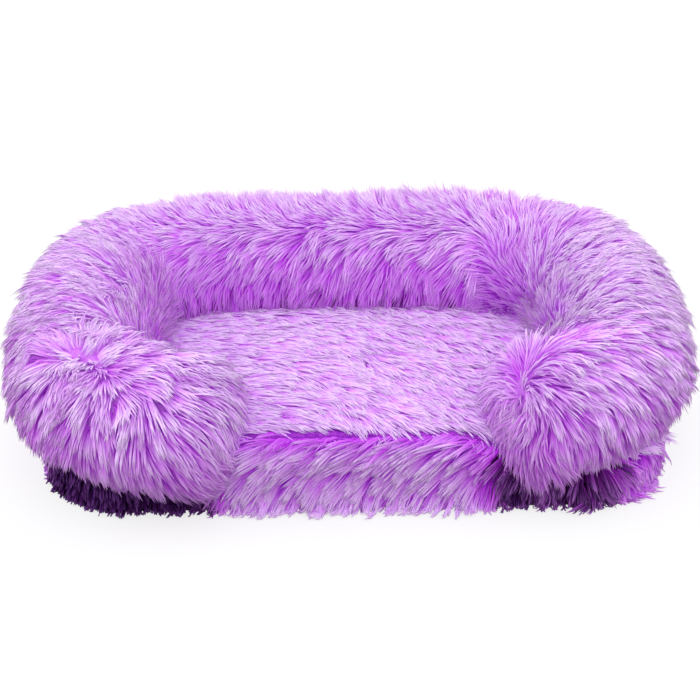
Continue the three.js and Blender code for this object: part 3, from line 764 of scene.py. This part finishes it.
def lockSkin(joints, normal, blunt, even, rng):
    # three corners round each of the first three joints, then the tip, and the normals that shade them
    count = len(normal)
    thick = tuft["width"] * rng.uniform(*tuft["widthRange"], count)
    widths = [thick * 0.95, thick, thick * lerp(0.62, 0.86, blunt)]
    start = rng.uniform(0, 2 * np.pi, count)
    points, shine = np.zeros((count, 10, 3)), np.zeros((count, 10, 3))
    for k in range(3):
        way = unit(joints[k + 1] - joints[k])
        across = unit(np.cross(way, normal) + 1e-6)
        over = np.cross(across, way)
        for corner in range(3):
            turn = (start + corner * 2 * np.pi / 3)[:, None]
            spread = across * np.cos(turn) - over * np.sin(turn)
            points[:, k * 3 + corner] = joints[k] + spread * widths[k][:, None]
            shine[:, k * 3 + corner] = spread
    points[:, 9], shine[:, 9] = joints[3], unit(joints[3] - joints[2])
    # locks are shaded partly as one surface, on the sides that face out of it
    facingOut = ease(dot(shine, normal[:, None]) + tuft["cover"])
    shine = unit(lerp(shine, normal[:, None], even[:, None, None] * facingOut))
    points[..., 2] = np.maximum(points[..., 2], 0.0002)
    return points, shine


lockQuads = np.array([[3 * r + k, 3 * r + (k + 1) % 3, 3 * r + 3 + (k + 1) % 3, 3 * r + 3 + k]
                      for r in (0, 1) for k in (0, 1, 2)])
lockCaps = np.array([[6, 7, 9], [7, 8, 9], [8, 6, 9], [2, 1, 0]])


def growPile(name, field, part, count, seed, slot, size, spread):
    # locks start at evenly scattered roots; a lock rises from the cloth, bends over along the
    # comb and hangs a little. Neighbours in one tuft lean together
    rng = np.random.default_rng(seed)
    area = field["area"] * part
    total = np.cumsum(area.ravel())
    at = np.searchsorted(total, (np.arange(count) + rng.random(count)) / count * total[-1])
    at = np.minimum(at, area.size - 1)
    fi, fj = at // area.shape[1] + rng.random(count), at % area.shape[1] + rng.random(count)
    values = sampleGrid(field["layers"], fi, fj)
    root, normal = values[:, 0:3], unit(values[:, 3:6])
    comb = unit(values[:, 6:9] - dot(values[:, 6:9], normal) * normal)
    length, rise, settle, droop, stray, swing, blunt, curl, pull, tone, fade, even = values[:, 9:].T

    luck, heart = nearestTuft(field, fi, fj, size, seed + 1)
    toHeart = heart - root
    toHeart *= np.minimum(1, size / np.maximum(np.linalg.norm(toHeart, axis=1), 1e-9))[:, None]

    angle = np.radians(stray * rng.normal(size=count) + swing * (luck[2] - 0.5) * 2)
    bend = np.radians(curl * (3 * (luck[6] - 0.5) + 0.3 * rng.normal(size=count)))
    lift = np.radians(rise + spread * (luck[3] - 0.5) * 2 + 0.5 * stray * rng.normal(size=count))
    rest = np.radians(settle + spread * (luck[3] - 0.5) + 0.5 * stray * rng.normal(size=count))
    shortest, more = tuft["reach"]
    reach = length * (shortest + more * luck[4]) * np.exp(tuft["unevenness"] * rng.normal(size=count))
    side = np.cross(normal, comb)
    marks = np.stack([np.zeros(count), lerp(0.33, 0.42, blunt), lerp(0.68, 0.86, blunt), np.ones(count)])
    pull = pull * rng.uniform(*tuft["pullRange"], count)

    joints = [root - normal * tuft["embed"]]
    for k in range(3):
        middle = (marks[k] + marks[k + 1]) / 2
        slope = lerp(lift, rest, middle)
        yaw = angle + bend * middle
        flat = comb * np.cos(yaw)[:, None] + side * np.sin(yaw)[:, None]
        way = flat * np.cos(slope)[:, None] + normal * np.sin(slope)[:, None]
        way = way + toHeart * (pull / reach)[:, None]
        way[:, 2] -= droop * middle ** 1.3
        joints.append(joints[-1] + unit(way) * (reach * (marks[k + 1] - marks[k]))[:, None])
    joints = settleOnFloor(keepInside(np.array(joints)), root, rng)
    points, shine = lockSkin(joints, normal, blunt, even, rng)

    # tufts that rise higher are paler and lower ones deeper: painted shade in the gaps between tufts, with some
    # random tone; the field's tone carries painted light and shade too
    raised = 0.7 * luck[3] + 0.3 * luck[5] - 0.5
    shade = np.clip(tone * (1 + raised) + 0.03 * rng.normal(size=count), 0, 1)
    shadeAt = 0.02 + 0.93 * shade[:, None] + 0.012 * (np.arange(10) % 3)
    alongAt = np.repeat(marks, [3, 3, 3, 1], axis=0).T
    alongAt = (1 - (1 - alongAt) * (1 - fade[:, None])) * 0.98 + 0.01
    start = np.arange(count)[:, None, None] * 10
    faces = [(start + lockQuads).reshape(-1, 4), (start + lockCaps).reshape(-1, 3)]
    piece = newPiece(name, points, faces, plush)
    mesh = piece.data
    for key, value in (("along", alongAt), ("shade", shadeAt)):
        mesh.attributes.new(key, "FLOAT", "POINT").data.foreach_set("value", value.ravel().astype(np.float32))
    flat = np.stack([shadeAt.ravel(), alongAt.ravel()], -1)[np.concatenate([f.ravel() for f in faces])]
    mesh.uv_layers.new(name="OFBake").data.foreach_set("uv", flat.astype(np.float32).ravel())
    mesh.normals_split_custom_set_from_vertices(shine.reshape(-1, 3))
    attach(piece, "cover")


# The hair may stand this far past the solids' box
overhang = np.array([0.0152, 0.0116, 0.0148])


def keepInside(joints):
    # a lock that would reach past the box is shortened, towards its root
    root, tip = joints[0], joints[3]
    share = np.ones(len(root))
    for axis in range(3):
        limit = cadHigh[axis] + overhang[axis]
        far, near = np.abs(tip[:, axis]), np.abs(root[:, axis])
        share = np.where(far > limit, np.minimum(share, (limit - near) / np.maximum(far - near, 1e-6)), share)
    return root + (joints - root) * share[None, :, None]


def settleOnFloor(joints, root, rng):
    # the hair lies along the floor, and is parted clear of the zip
    low = rng.uniform(0.0006, 0.0035, joints.shape[1])
    joints[1:, :, 2] = np.maximum(joints[1:, :, 2], low)
    x, y, z = joints[..., 0], joints[..., 1], joints[..., 2]
    nearZip = (np.abs(x) < closure["halfLength"] + 0.012) & (y > 0.17)
    above = nearZip & (root[:, 2] > closure["slotHigh"])
    z[:] = np.where(above, np.maximum(z, closure["slotHigh"] + 0.002 + (z + 0.02) * 0.03), z)
    below = nearZip & (root[:, 2] < closure["slotLow"])
    z[:] = np.where(below, np.minimum(z, closure["slotLow"] - 0.0005), z)
    return joints


# How the bolster's hair is combed
comb = {
    "partAngle": 126, "partWander": 8, "partWidth": 24,  # degrees round the section, at the back
    "swirl": 0.212, "swirlWidth": 0.035,  # place in X where the back's hair starts to either side
    "fall": 0.22, "drift": (0.4, 0.9),  # along the back, and more of it at the parting
    "forward": (0.3, 0.1),  # on the right and the left arm
    # short lines on the surface that the hair parts from, at each lobe, and the way it drifts there
    "leftPart": ((-0.284, -0.16, 0.165), (-0.264, -0.178, 0.158)),
    "rightPart": ((0.128, -0.16, 0.11), (0.172, -0.186, 0.124)),
    "partSize": 0.024, "fanDrift": (0.05, -0.45, -0.8), "entranceWay": (0.7, 0, 0.1),
    "ripples": (0.055, 0.026), "length": 0.039, "crestLeft": 0.031, "crestRight": 0.036, "lobeLength": 0.041,
    "lobeInward": 0.007, "lobeUnder": -0.011, "fineTousle": 24,
}
bolsterHairs = {
    "tousle": {"all": 12, "leftCrown": 22, "rightCrown": 12, "back": 8, "lobe": 8, "mixed": 30},
    "rise": {"all": 36, "lobe": 6, "tall": 22, "ridge": 10, "mixed": 8, "core": 10, "foot": 24, "corner": 12},
    "settle": {"all": 6, "tall": 22, "mixed": 8, "core": 8},
    "droop": {"tube": 0.34, "tallTube": -0.26, "lobe": 0.55, "lobeInward": -0.15},
    "stray": {"all": 3.5, "lobe": -1.5, "tall": 2, "mixed": 5},
    "swing": {"all": 14, "lobe": -1, "crown": 6, "mixed": 20, "around": 14, "core": 25},
    "blunt": {"all": 0.2, "lobe": 0.4}, "pull": {"all": 0.4, "lobe": 0.55}, "fade": {"mixed": 0.4},
    # the shade is paler on the tops and on the right arm's tube (painted light) and lower on the inner back under
    # the parting (painted shade)
    "shade": {"all": 0.42, "paintedTopLight": 0.36, "paintedRightLight": 0.35, "below": -0.2, "around": -0.12},
    "cut": {"mixed": 0.3, "core": 0.2},  # off the length
}


def bolsterField():
    w = np.arange(-roll * 0.995, bolsterLength + roll * 0.995, 0.004)
    phi = np.radians(np.arange(-64, 240, 3.6))
    w, phi = np.meshgrid(w, phi, indexing="ij")
    point, normal = bolsterCloth(w, phi)
    outward = bolsterFrame(w)[2]
    x, y = point[..., :1], point[..., 1:2]
    over = outward * np.sin(phi)[..., None] - upward * np.cos(phi)[..., None]  # from the seat over the crest

    # on the arms all the hair goes outward. At the back it runs along the bed near the parting
    # line, up and over the crest above that and down to the seat below it
    back = zone(outward[..., 1:2], 0.15, 0.55)
    part = comb["partAngle"] + comb["partWander"] * ripple(point, 0.11, 3)
    side = np.tanh((part - np.degrees(phi)) / comb["partWidth"])[..., None]
    parted = back * (1 - zone(x, 0.13, 0.08))  # the parting ends before the hair turns to the right
    ridge = (1 - np.abs(side)) * parted
    side = lerp(1, side, parted)
    along = np.tanh((x - comb["swirl"]) / comb["swirlWidth"]) * (comb["drift"][0] + comb["drift"][1] * ridge)
    rightArm, leftArm = zone(x, 0.15, 0.1) * (1 - back), zone(-x, 0.15, 0.1) * (1 - back)
    flow = over * side - upward * comb["fall"] + toRight * along * back
    flow = flow - toBack * (comb["forward"][0] * rightArm + comb["forward"][1] * leftArm)

    # each lobe's hair fans out from a short parting. Close to a parting the tufts stand and lie every way
    def offLine(ends):
        first, last = np.array(ends)
        share = np.clip(dot(point - first, last - first) / dot(last - first, last - first), 0, 1)
        return point - lerp(first, last, share)

    def closeTo(ends, size):
        return np.exp(-(np.linalg.norm(offLine(ends), axis=-1) / size) ** 2)

    leftLobe = zone(-y, 0.09, 0.06) * (x < 0)
    rightLobe = zone(-y, 0.07, 0.07) * (x > 0)
    flow = unit(flow)
    for ends, here in ((comb["leftPart"], leftLobe), (comb["rightPart"], rightLobe)):
        flow = lerp(flow, unit(unit(offLine(ends)) + np.array(comb["fanDrift"])), here)
    inward = leftLobe * zone(x, -0.23, 0.07) - rightLobe * zone(-x, -0.23, 0.07)  # the sides by the entrance
    flow = flow + np.array(comb["entranceWay"]) * inward
    flow = unit(flow - dot(flow, normal) * normal)

    lobe = np.maximum(leftLobe, rightLobe)
    x, y, back, side, parted, ridge, leftArm, rightArm, inward, lobe = (
        value[..., 0] for value in (x, y, back, side, parted, ridge, leftArm, rightArm, np.abs(inward), lobe))
    core, mixed, around = (sum(closeTo(comb[key], comb["partSize"] * wide) for key in ("leftPart", "rightPart"))
                           for wide in (0.4, 1, 2.2))
    crown, tube = ease(np.sin(phi)) * (1 - lobe), 1 - lobe
    tall = back * zone(np.sin(phi), 0.7, 0.25) * (1 - zone(np.abs(x), 0.15, 0.1))
    hair = zoned(bolsterHairs, {
        "all": np.ones(w.shape), "lobe": lobe, "tube": tube, "back": back, "ridge": ridge,
        "core": core, "mixed": mixed, "around": around, "tall": tall, "tallTube": tall * tube,
        "crown": crown * tube, "leftCrown": leftArm * crown, "rightCrown": rightArm * crown,
        # below the parting at the back the hair takes painted shade; the right arm's tube and the upward faces
        # take painted light
        "paintedRightLight": rightArm * tube, "lobeInward": lobe * inward, "below": np.maximum(-side, 0) * parted,
        "paintedTopLight": ease(normal[..., 2] * 0.8 + 0.2),
        "foot": zone(np.degrees(phi), 165, 30) * (side > 0),  # the lowest hair inside stands out
        "corner": zone(x, 0.22, 0.08) * zone(y, -0.06, 0.08),  # the back right, outside
    })
    wide, fine = comb["ripples"]
    flow = turned(flow, normal, hair.pop("tousle") * ripple(point, wide, 11))
    flow = turned(flow, normal, comb["fineTousle"] * leftArm * crown * ripple(point, fine, 12))
    crestLength = lerp(comb["crestLeft"], comb["crestRight"], zone(x, -0.02, 0.12))
    lobeLength = (comb["lobeLength"] + comb["lobeInward"] * inward
                  + comb["lobeUnder"] * (1 - inward) * zone(-normal[..., 2], -0.2, 0.6))
    hair["length"] = lerp(lerp(comb["length"], crestLength, tall), lobeLength, lobe) * (1 - hair.pop("cut"))
    hair["droop"] = hair["droop"] * (1 - mixed)
    hair["pull"] = hair["pull"] * (1 - 0.6 * mixed)
    return w, phi, makeField(point, normal, flow, np.where(insideMattress(point), 0.0, 1.0 + 2 * mixed), hair)


fieldW, fieldPhi, bolsterHair = bolsterField()

# The sleeping surface's hair. At the entrance it ends at a crease, and beyond that the boxing's
# hair begins: the brink is the way down into the crease, and the lip lies past it
crease = {"brinkFrom": 0.01, "brinkWidth": 0.018, "lip": 0.0165, "gapMiddle": 0.0155, "gapHalf": 0.0035,
          "gapShade": 0.26, "gapHair": 0.7}
seatHairs = {
    "length": {"flat": 0.036, "rim": -0.006, "brink": -0.009, "rimBrink": 0.0015, "lip": 0.034},
    "rise": {"flat": 27, "rim": -5, "brink": -9, "lip": 26},
    "settle": {"flat": -3, "brink": -12, "lip": -3},
    "droop": {"flat": 0.1, "rim": 0.1, "brink": 0.25, "lip": 0.6},
    "stray": {"all": 3}, "swing": {"all": 12}, "pull": {"flat": 0.25, "lip": 0.9},
    # paler on the flat (painted light from above) and darker down the brink into the crease (painted crease shade)
    "shade": {"flat": 1.0, "brink": -0.65, "lip": 0.45},
}


def seatField():
    x, y = np.meshgrid(np.arange(-0.31, 0.325, 0.004), np.arange(-0.196, 0.16, 0.004), indexing="ij")
    z, near = mattressClothTop(x, y), 0.002
    slope = [(mattressClothTop(x + dx, y + dy) - z) / near for dx, dy in ((near, 0), (0, near))]
    normal = unit(np.stack([-slope[0], -slope[1], np.ones(x.shape)], -1))
    depth = planDepth(x, y) - pile["depth"]
    rim = ease(1 - depth / 0.03)  # the edge rolls over towards the boxing
    normal = unit(normal - toBack * 0.5 * rim[..., None])
    point = np.stack([x, y, z], -1)
    line = linePoints[::12, :2]
    away = np.sqrt(((point[..., None, :2] - line) ** 2).sum(-1)).min(-1)
    for w, way in ((0.0, -1), (bolsterLength, 1)):
        centre, ahead, outward = (v[0] for v in bolsterFrame(np.array([w])))
        local = point - centre
        beyond = dot(local, ahead)[..., 0] * way
        past = np.hypot(beyond * bolster["halfWidth"] / bolster["endCrown"], dot(local, outward)[..., 0])
        away = np.where(beyond > 0, np.minimum(past, away + (beyond > 0.03) * 1), away)
    brink = (ease(1 - (depth - crease["brinkFrom"]) / crease["brinkWidth"]) * (y < -0.1)
             * ease((0.16 - np.abs(x)) / 0.05))
    lip = ((depth < crease["lip"]) & (brink > 0)).astype(float)
    gap = (np.abs(depth - crease["gapMiddle"]) <= crease["gapHalf"]) & (brink > 0)  # thin hair, darkened by painted crease shade
    toward = lerp(0.35, 1.1, zone(x, -0.16, 0.2)) * (1 - 0.8 * rim)
    flow = unit(toRight - toBack * (toward + 0.9 * brink)[..., None])
    flow = turned(flow, normal, 12 * ripple(point, 0.07, 21))
    flow = lerp(flow, np.array([-1, -0.6, 0]), lip[..., None])
    flat = 1 - lip
    hair = zoned(seatHairs, {"all": np.ones(x.shape), "flat": flat, "lip": lip, "rim": rim * flat,
                             "brink": brink * flat, "rimBrink": rim * brink * flat})
    hair["shade"] = np.where(gap, crease["gapShade"], hair["shade"])
    grown = ((away > 0.054) & (depth > 0.001)) * np.where(gap, crease["gapHair"], 1.0)
    return makeField(point, normal, flow, grown, hair)


# The boxing's hair
wallHairs = {
    "length": {"rear": 0.016, "free": 0.036, "opened": 0.009, "under": 0.007, "end": -0.013},
    "rise": {"rear": 24, "free": 44, "opened": 6, "spread": 14},
    "settle": {"free": -6, "spread": 22},
    "droop": {"all": 0.7, "opened": 0.1, "flare": -0.25},
    "stray": {"all": 2, "under": 2}, "swing": {"all": 15, "under": 10}, "pull": {"all": 1.2},
    "blunt": {"all": 1.0, "opened": -0.25}, "even": {"all": 0.5},
    # the shade paints shadow on the hair beside and under the lobes, light on the curtain at the entrance, and
    # shade in the crease at the curtain's top
    "shade": {"sides": 0.42, "shadow": 0.02, "rightShadow": 0.08, "rightEnd": 0.32, "lit": 0.8, "creaseShade": -0.35},
}


def wallField():
    # at the entrance the hair starts leftward and arcs down, elsewhere it hangs
    height = np.linspace(0, 1, 22)
    place = planPlace - planNormal * pile["depth"]
    top = mattressClothTop(place[:, 0], place[:, 1])
    z = 0.005 + (top[:, None] - 0.007) * height
    point = np.concatenate([np.repeat(place[:, None], 22, 1), z[..., None]], -1)
    tilt = np.broadcast_to(zone(height, 0.75, 0.25) * 0.5, z.shape)
    normal = unit(np.concatenate([np.repeat(planNormal[:, None], 22, 1), tilt[..., None]], -1))
    x, y = point[..., 0], point[..., 1]
    front = zone(-y, 0.1, 0.06)
    opened = zone(x, -0.19, 0.08) * zone(-x, -0.2, 0.08) * front
    left = (opened * (0.3 + 1.6 * zone(z, 0.02, 0.055)))[..., None]
    flow = -toRight * left - upward * (1.05 - 0.45 * left)
    flow = flow + toRight * 0.5 * (zone(x, 0.2, 0.1) * front)[..., None]
    flow = unit(flow - dot(flow, normal) * normal)
    under = zone(x, 0.19, 0.06) * front  # below the right lobe
    flow = turned(flow, normal, (10 + 26 * under) * ripple(point, 0.04, 31))
    rear = (np.abs(x) < closure["halfLength"] + 0.004) & (y > 0.15)
    slot = rear & (z > closure["slotLow"] - 0.001) & (z < closure["slotHigh"] + 0.001)
    flow = np.where((rear & (z > closure["slotHigh"]))[..., None], toRight - 0.15 * upward, flow)
    flare = 1 - ease(z / 0.05)  # the lowest hair spreads on the floor
    # painted light on the curtain between the lobes; painted shadow on the front hair beside and under them
    lit = opened * zone(x, -0.16, 0.05) * zone(-x, -0.17, 0.05)
    shadow = front * (1 - lit)
    hair = zoned(wallHairs, {
        "all": np.ones(z.shape), "rear": rear, "free": ~rear, "opened": opened, "under": under, "flare": flare,
        "spread": flare * ~rear, "end": zone(np.abs(x), 0.24, 0.06) * lerp(0.6, 1, (x < 0).astype(float)),
        "sides": (1 - front) * (1 - lit), "shadow": shadow, "rightShadow": shadow * zone(x, 0.1, 0.1),
        "rightEnd": shadow * zone(x, 0.25, 0.06), "lit": lit, "creaseShade": lit * zone(height, 0.93, 0.07),
    })
    return makeField(point, normal, flow, np.where(slot, 0.0, 1.0), hair)


seatHair = seatField()
wallHair = wallField()
print("combed; areas", [round(float(f["area"].sum()), 3) for f in (bolsterHair, seatHair, wallHair)])

# locks to the square metre; the size of a tuft and how far tufts differ in their rise, in degrees
density = {"bolster": 150000, "seat": 150000, "wall": 140000, "rearWall": 140000 * 0.9}
tufts = {"pile_end": (0.0075, 6), "pile_out": (0.0085, 7), "pile_inn": (0.0085, 5), "pile_sea": (0.0085, 4),
         "pile_wal": (0.0072, 12)}
most = 12400  # locks in one piece


def cells(values):
    return values[:-1, :-1]


wc, pc = cells(fieldW), cells(fieldPhi)
outside, tube = pc < crest, (wc >= 0) & (wc <= bolsterLength)
cuts = bolsterLength * np.array([0, 0.16, 0.33, 0.5, 0.67, 0.84, 1.0])
parts = [("pile_end_left", bolsterHair, wc < 0, "bolster"),
         ("pile_end_right", bolsterHair, wc > bolsterLength, "bolster")]
for half, region, words, step in (
        ("outer", outside, ("lobe_left", "arm_left", "back_left", "back_right", "arm_right", "lobe_right"), 1),
        ("inner", ~outside, ("left", "back", "right"), 2)):
    for number, word in enumerate(words):
        here = tube & (wc >= cuts[step * number]) & (wc < cuts[step * (number + 1)] + 1e-6)
        parts.append(("pile_" + half + "_" + word, bolsterHair, here & region, "bolster"))
seatX = cells(seatHair["layers"][..., 0])
wallX, wallY = cells(wallHair["layers"][..., 0]), cells(wallHair["layers"][..., 1])
parts += [("pile_seat_left", seatHair, seatX < 0, "seat"),
          ("pile_seat_right", seatHair, seatX >= 0, "seat"),
          ("pile_wall_front_left", wallHair, (wallX < 0) & (wallY < 0), "wall"),
          ("pile_wall_front_right", wallHair, (wallX >= 0) & (wallY < 0), "wall"),
          ("pile_wall_rear", wallHair, wallY >= 0, "rearWall")]
for number, (name, field, part, kind) in enumerate(parts):
    count = int(float((field["area"] * part).sum()) * density[kind])
    if count > most:
        print("too many locks:", name, count)
    growPile(name, field, part, min(count, most), 100 + 7 * number, "seat_plush" if "seat" in name else "plush",
             *tufts[name[:8]])
    print(name, count)

for piece in undercoat:
    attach(piece, "cover")
for shell, node in shells:
    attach(shell, "cover")
    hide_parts(node)
    "seat_plush" if node == "sleeping_panel" else "plush"
for pad, fill, swaps in (
        (bolsterPad, 0.75, ("bolster_liner_outer", "bolster_liner_inner", "bolster_filling")),
        (mattressPad, 0.6, ("mattress_liner_top", "mattress_liner_bottom", "mattress_filling"))):
    pad.data.materials.clear()
    pad.data.materials.append(liner)
    pad.data.shade_smooth()
    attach(pad, "cover")
    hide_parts(*swaps)
print("pile grown")


# Studio: white surroundings, brighter overhead, a large soft lamp above and a weak one in front
studio = {"skyTop": 1.06, "skyRim": 0.84,
          "floorTone": 0.12, "floorGlow": 0.72, "floorHalf": 9, "floorHeight": -0.0004}
lamps = {  # power, size and place; each looks at the bed's middle
    "key": (4, 2.2, (-0.3, 0.0, 2.4)), "fill": (10, 1.6, (-0.3, -1.9, 2.0)),
    "left": (9, 1.6, (-2.0, -0.2, 1.3)), "right": (9, 1.6, (2.0, -0.2, 1.3)),
}
camera = {"azimuth": -1.5, "elevation": 28, "distance": 1.565, "target": (0, -0.0082, 0.088), "lens": 70}


def place(name, data, at=(0, 0, 0), way=None):
    holder = bpy.data.objects.new(name, data)
    holder.location = at
    if way is not None:
        holder.rotation_euler = way.to_track_quat("-Z", "Y").to_euler()
    bpy.context.scene.collection.objects.link(holder)
    return holder


def makeFloor():
    look = Look("paleFloor")
    seen, glossy = look.add("LightPath", out=0), look.add("LightPath", out=3)
    tone = look.mix(seen, (studio["floorTone"],) * 3 + (1,), rgb(250, 250, 251))
    matt = look.add("BsdfDiffuse", {}, {"Color": tone})
    glow = look.add("Emission", {}, {"Color": (1, 1, 1, 1), "Strength": 1.0})
    share = look.sumOf("MAXIMUM", seen * studio["floorGlow"], glossy)
    look.add("OutputMaterial", {}, [look.add("MixShader", {}, [share, matt, glow])])
    mesh = bpy.data.meshes.new("floor")
    far, z = studio["floorHalf"], studio["floorHeight"]
    mesh.from_pydata([(-far, -far, z), (far, -far, z), (far, far, z), (-far, far, z)], [], [(0, 1, 2, 3)])
    mesh.materials.append(look.material)
    place("floor", mesh)


def makeSky():
    world = bpy.data.worlds.new("studioSky")
    bpy.context.scene.world = world
    world.use_nodes = True
    look = Look("sky", world.node_tree)
    height = look.add("SeparateXYZ", {}, [look.add("TexCoord", out=0)], 2)
    level = look.band(height, 0.0, 0.85, studio["skyRim"], studio["skyTop"])
    level = look.sumOf("MAXIMUM", look.add("LightPath", out=0), level)
    look.add("OutputWorld", {}, [look.add("Background", {}, {"Color": (1, 1, 1, 1), "Strength": level})])


makeFloor()
makeSky()
for name, (power, size, at) in lamps.items():
    lamp = bpy.data.lights.new(name, "AREA")
    lamp.shape, lamp.energy, lamp.size = "DISK", power, size
    place(name, lamp, at, Vector((0, 0, 0.08)) - Vector(at))
azimuth, elevation = np.radians([camera["azimuth"], camera["elevation"]])
back = Vector((np.sin(azimuth) * np.cos(elevation), -np.cos(azimuth) * np.cos(elevation), np.sin(elevation)))
lens = bpy.data.cameras.new("camera")
lens.lens, lens.sensor_width = camera["lens"], 36
bpy.context.scene.camera = place("camera", lens, Vector(camera["target"]) + back * camera["distance"], -back)
bpy.context.scene.view_settings.view_transform = "Standard"
